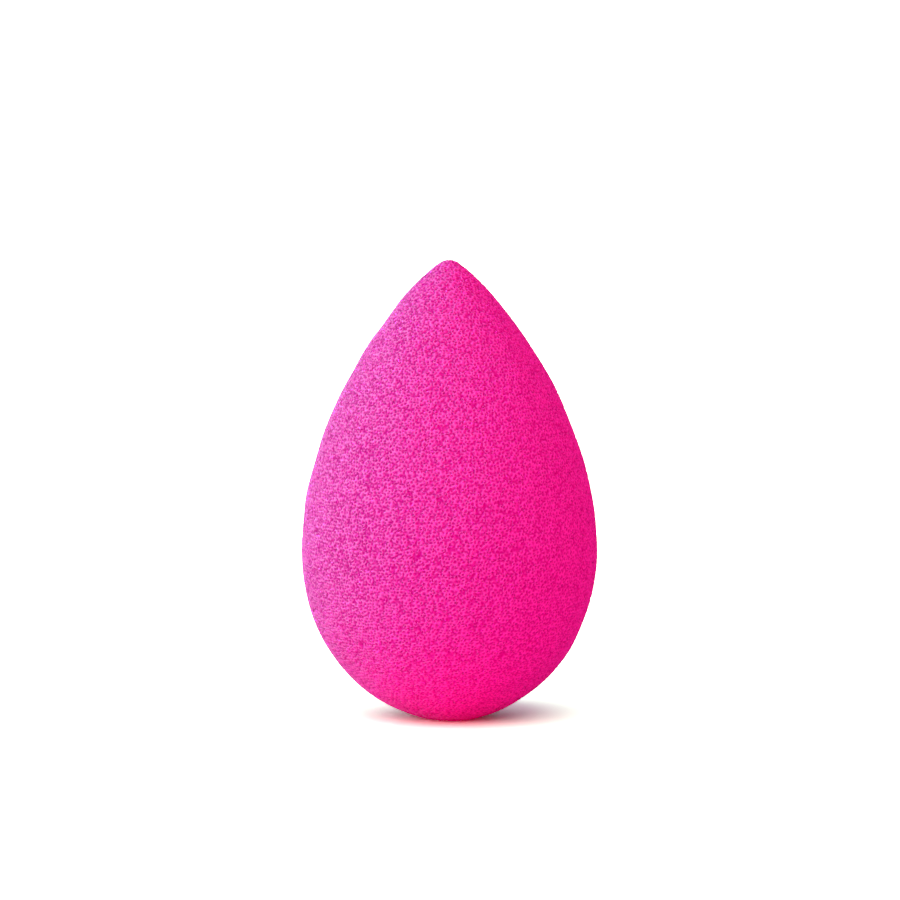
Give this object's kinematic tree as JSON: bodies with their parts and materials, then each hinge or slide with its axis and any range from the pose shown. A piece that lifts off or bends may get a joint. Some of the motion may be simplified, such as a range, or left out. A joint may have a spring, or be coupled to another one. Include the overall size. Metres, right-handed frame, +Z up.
{
  "type": "makeup sponge",
  "caption": "Teardrop make-up sponge of fine open-cell foam that stands on its round base, with a small round tip for narrow places.",
  "frame": {"origin": "middle of the small flat where the round base stands, at the bottom of the sponge", "axes": "+Z up along the sponge's axis of symmetry, from the round base to the tip"},
  "size_m": [0.04, 0.04, 0.0624],
  "materials": {
    "pink_foam": "dry open-cell polyurethane foam, dyed through, matte, with a fine-pored ground surface"
  },
  "bodies": {
    "root": {"foam_body": "pink_foam"}
  },
  "joints": []
}
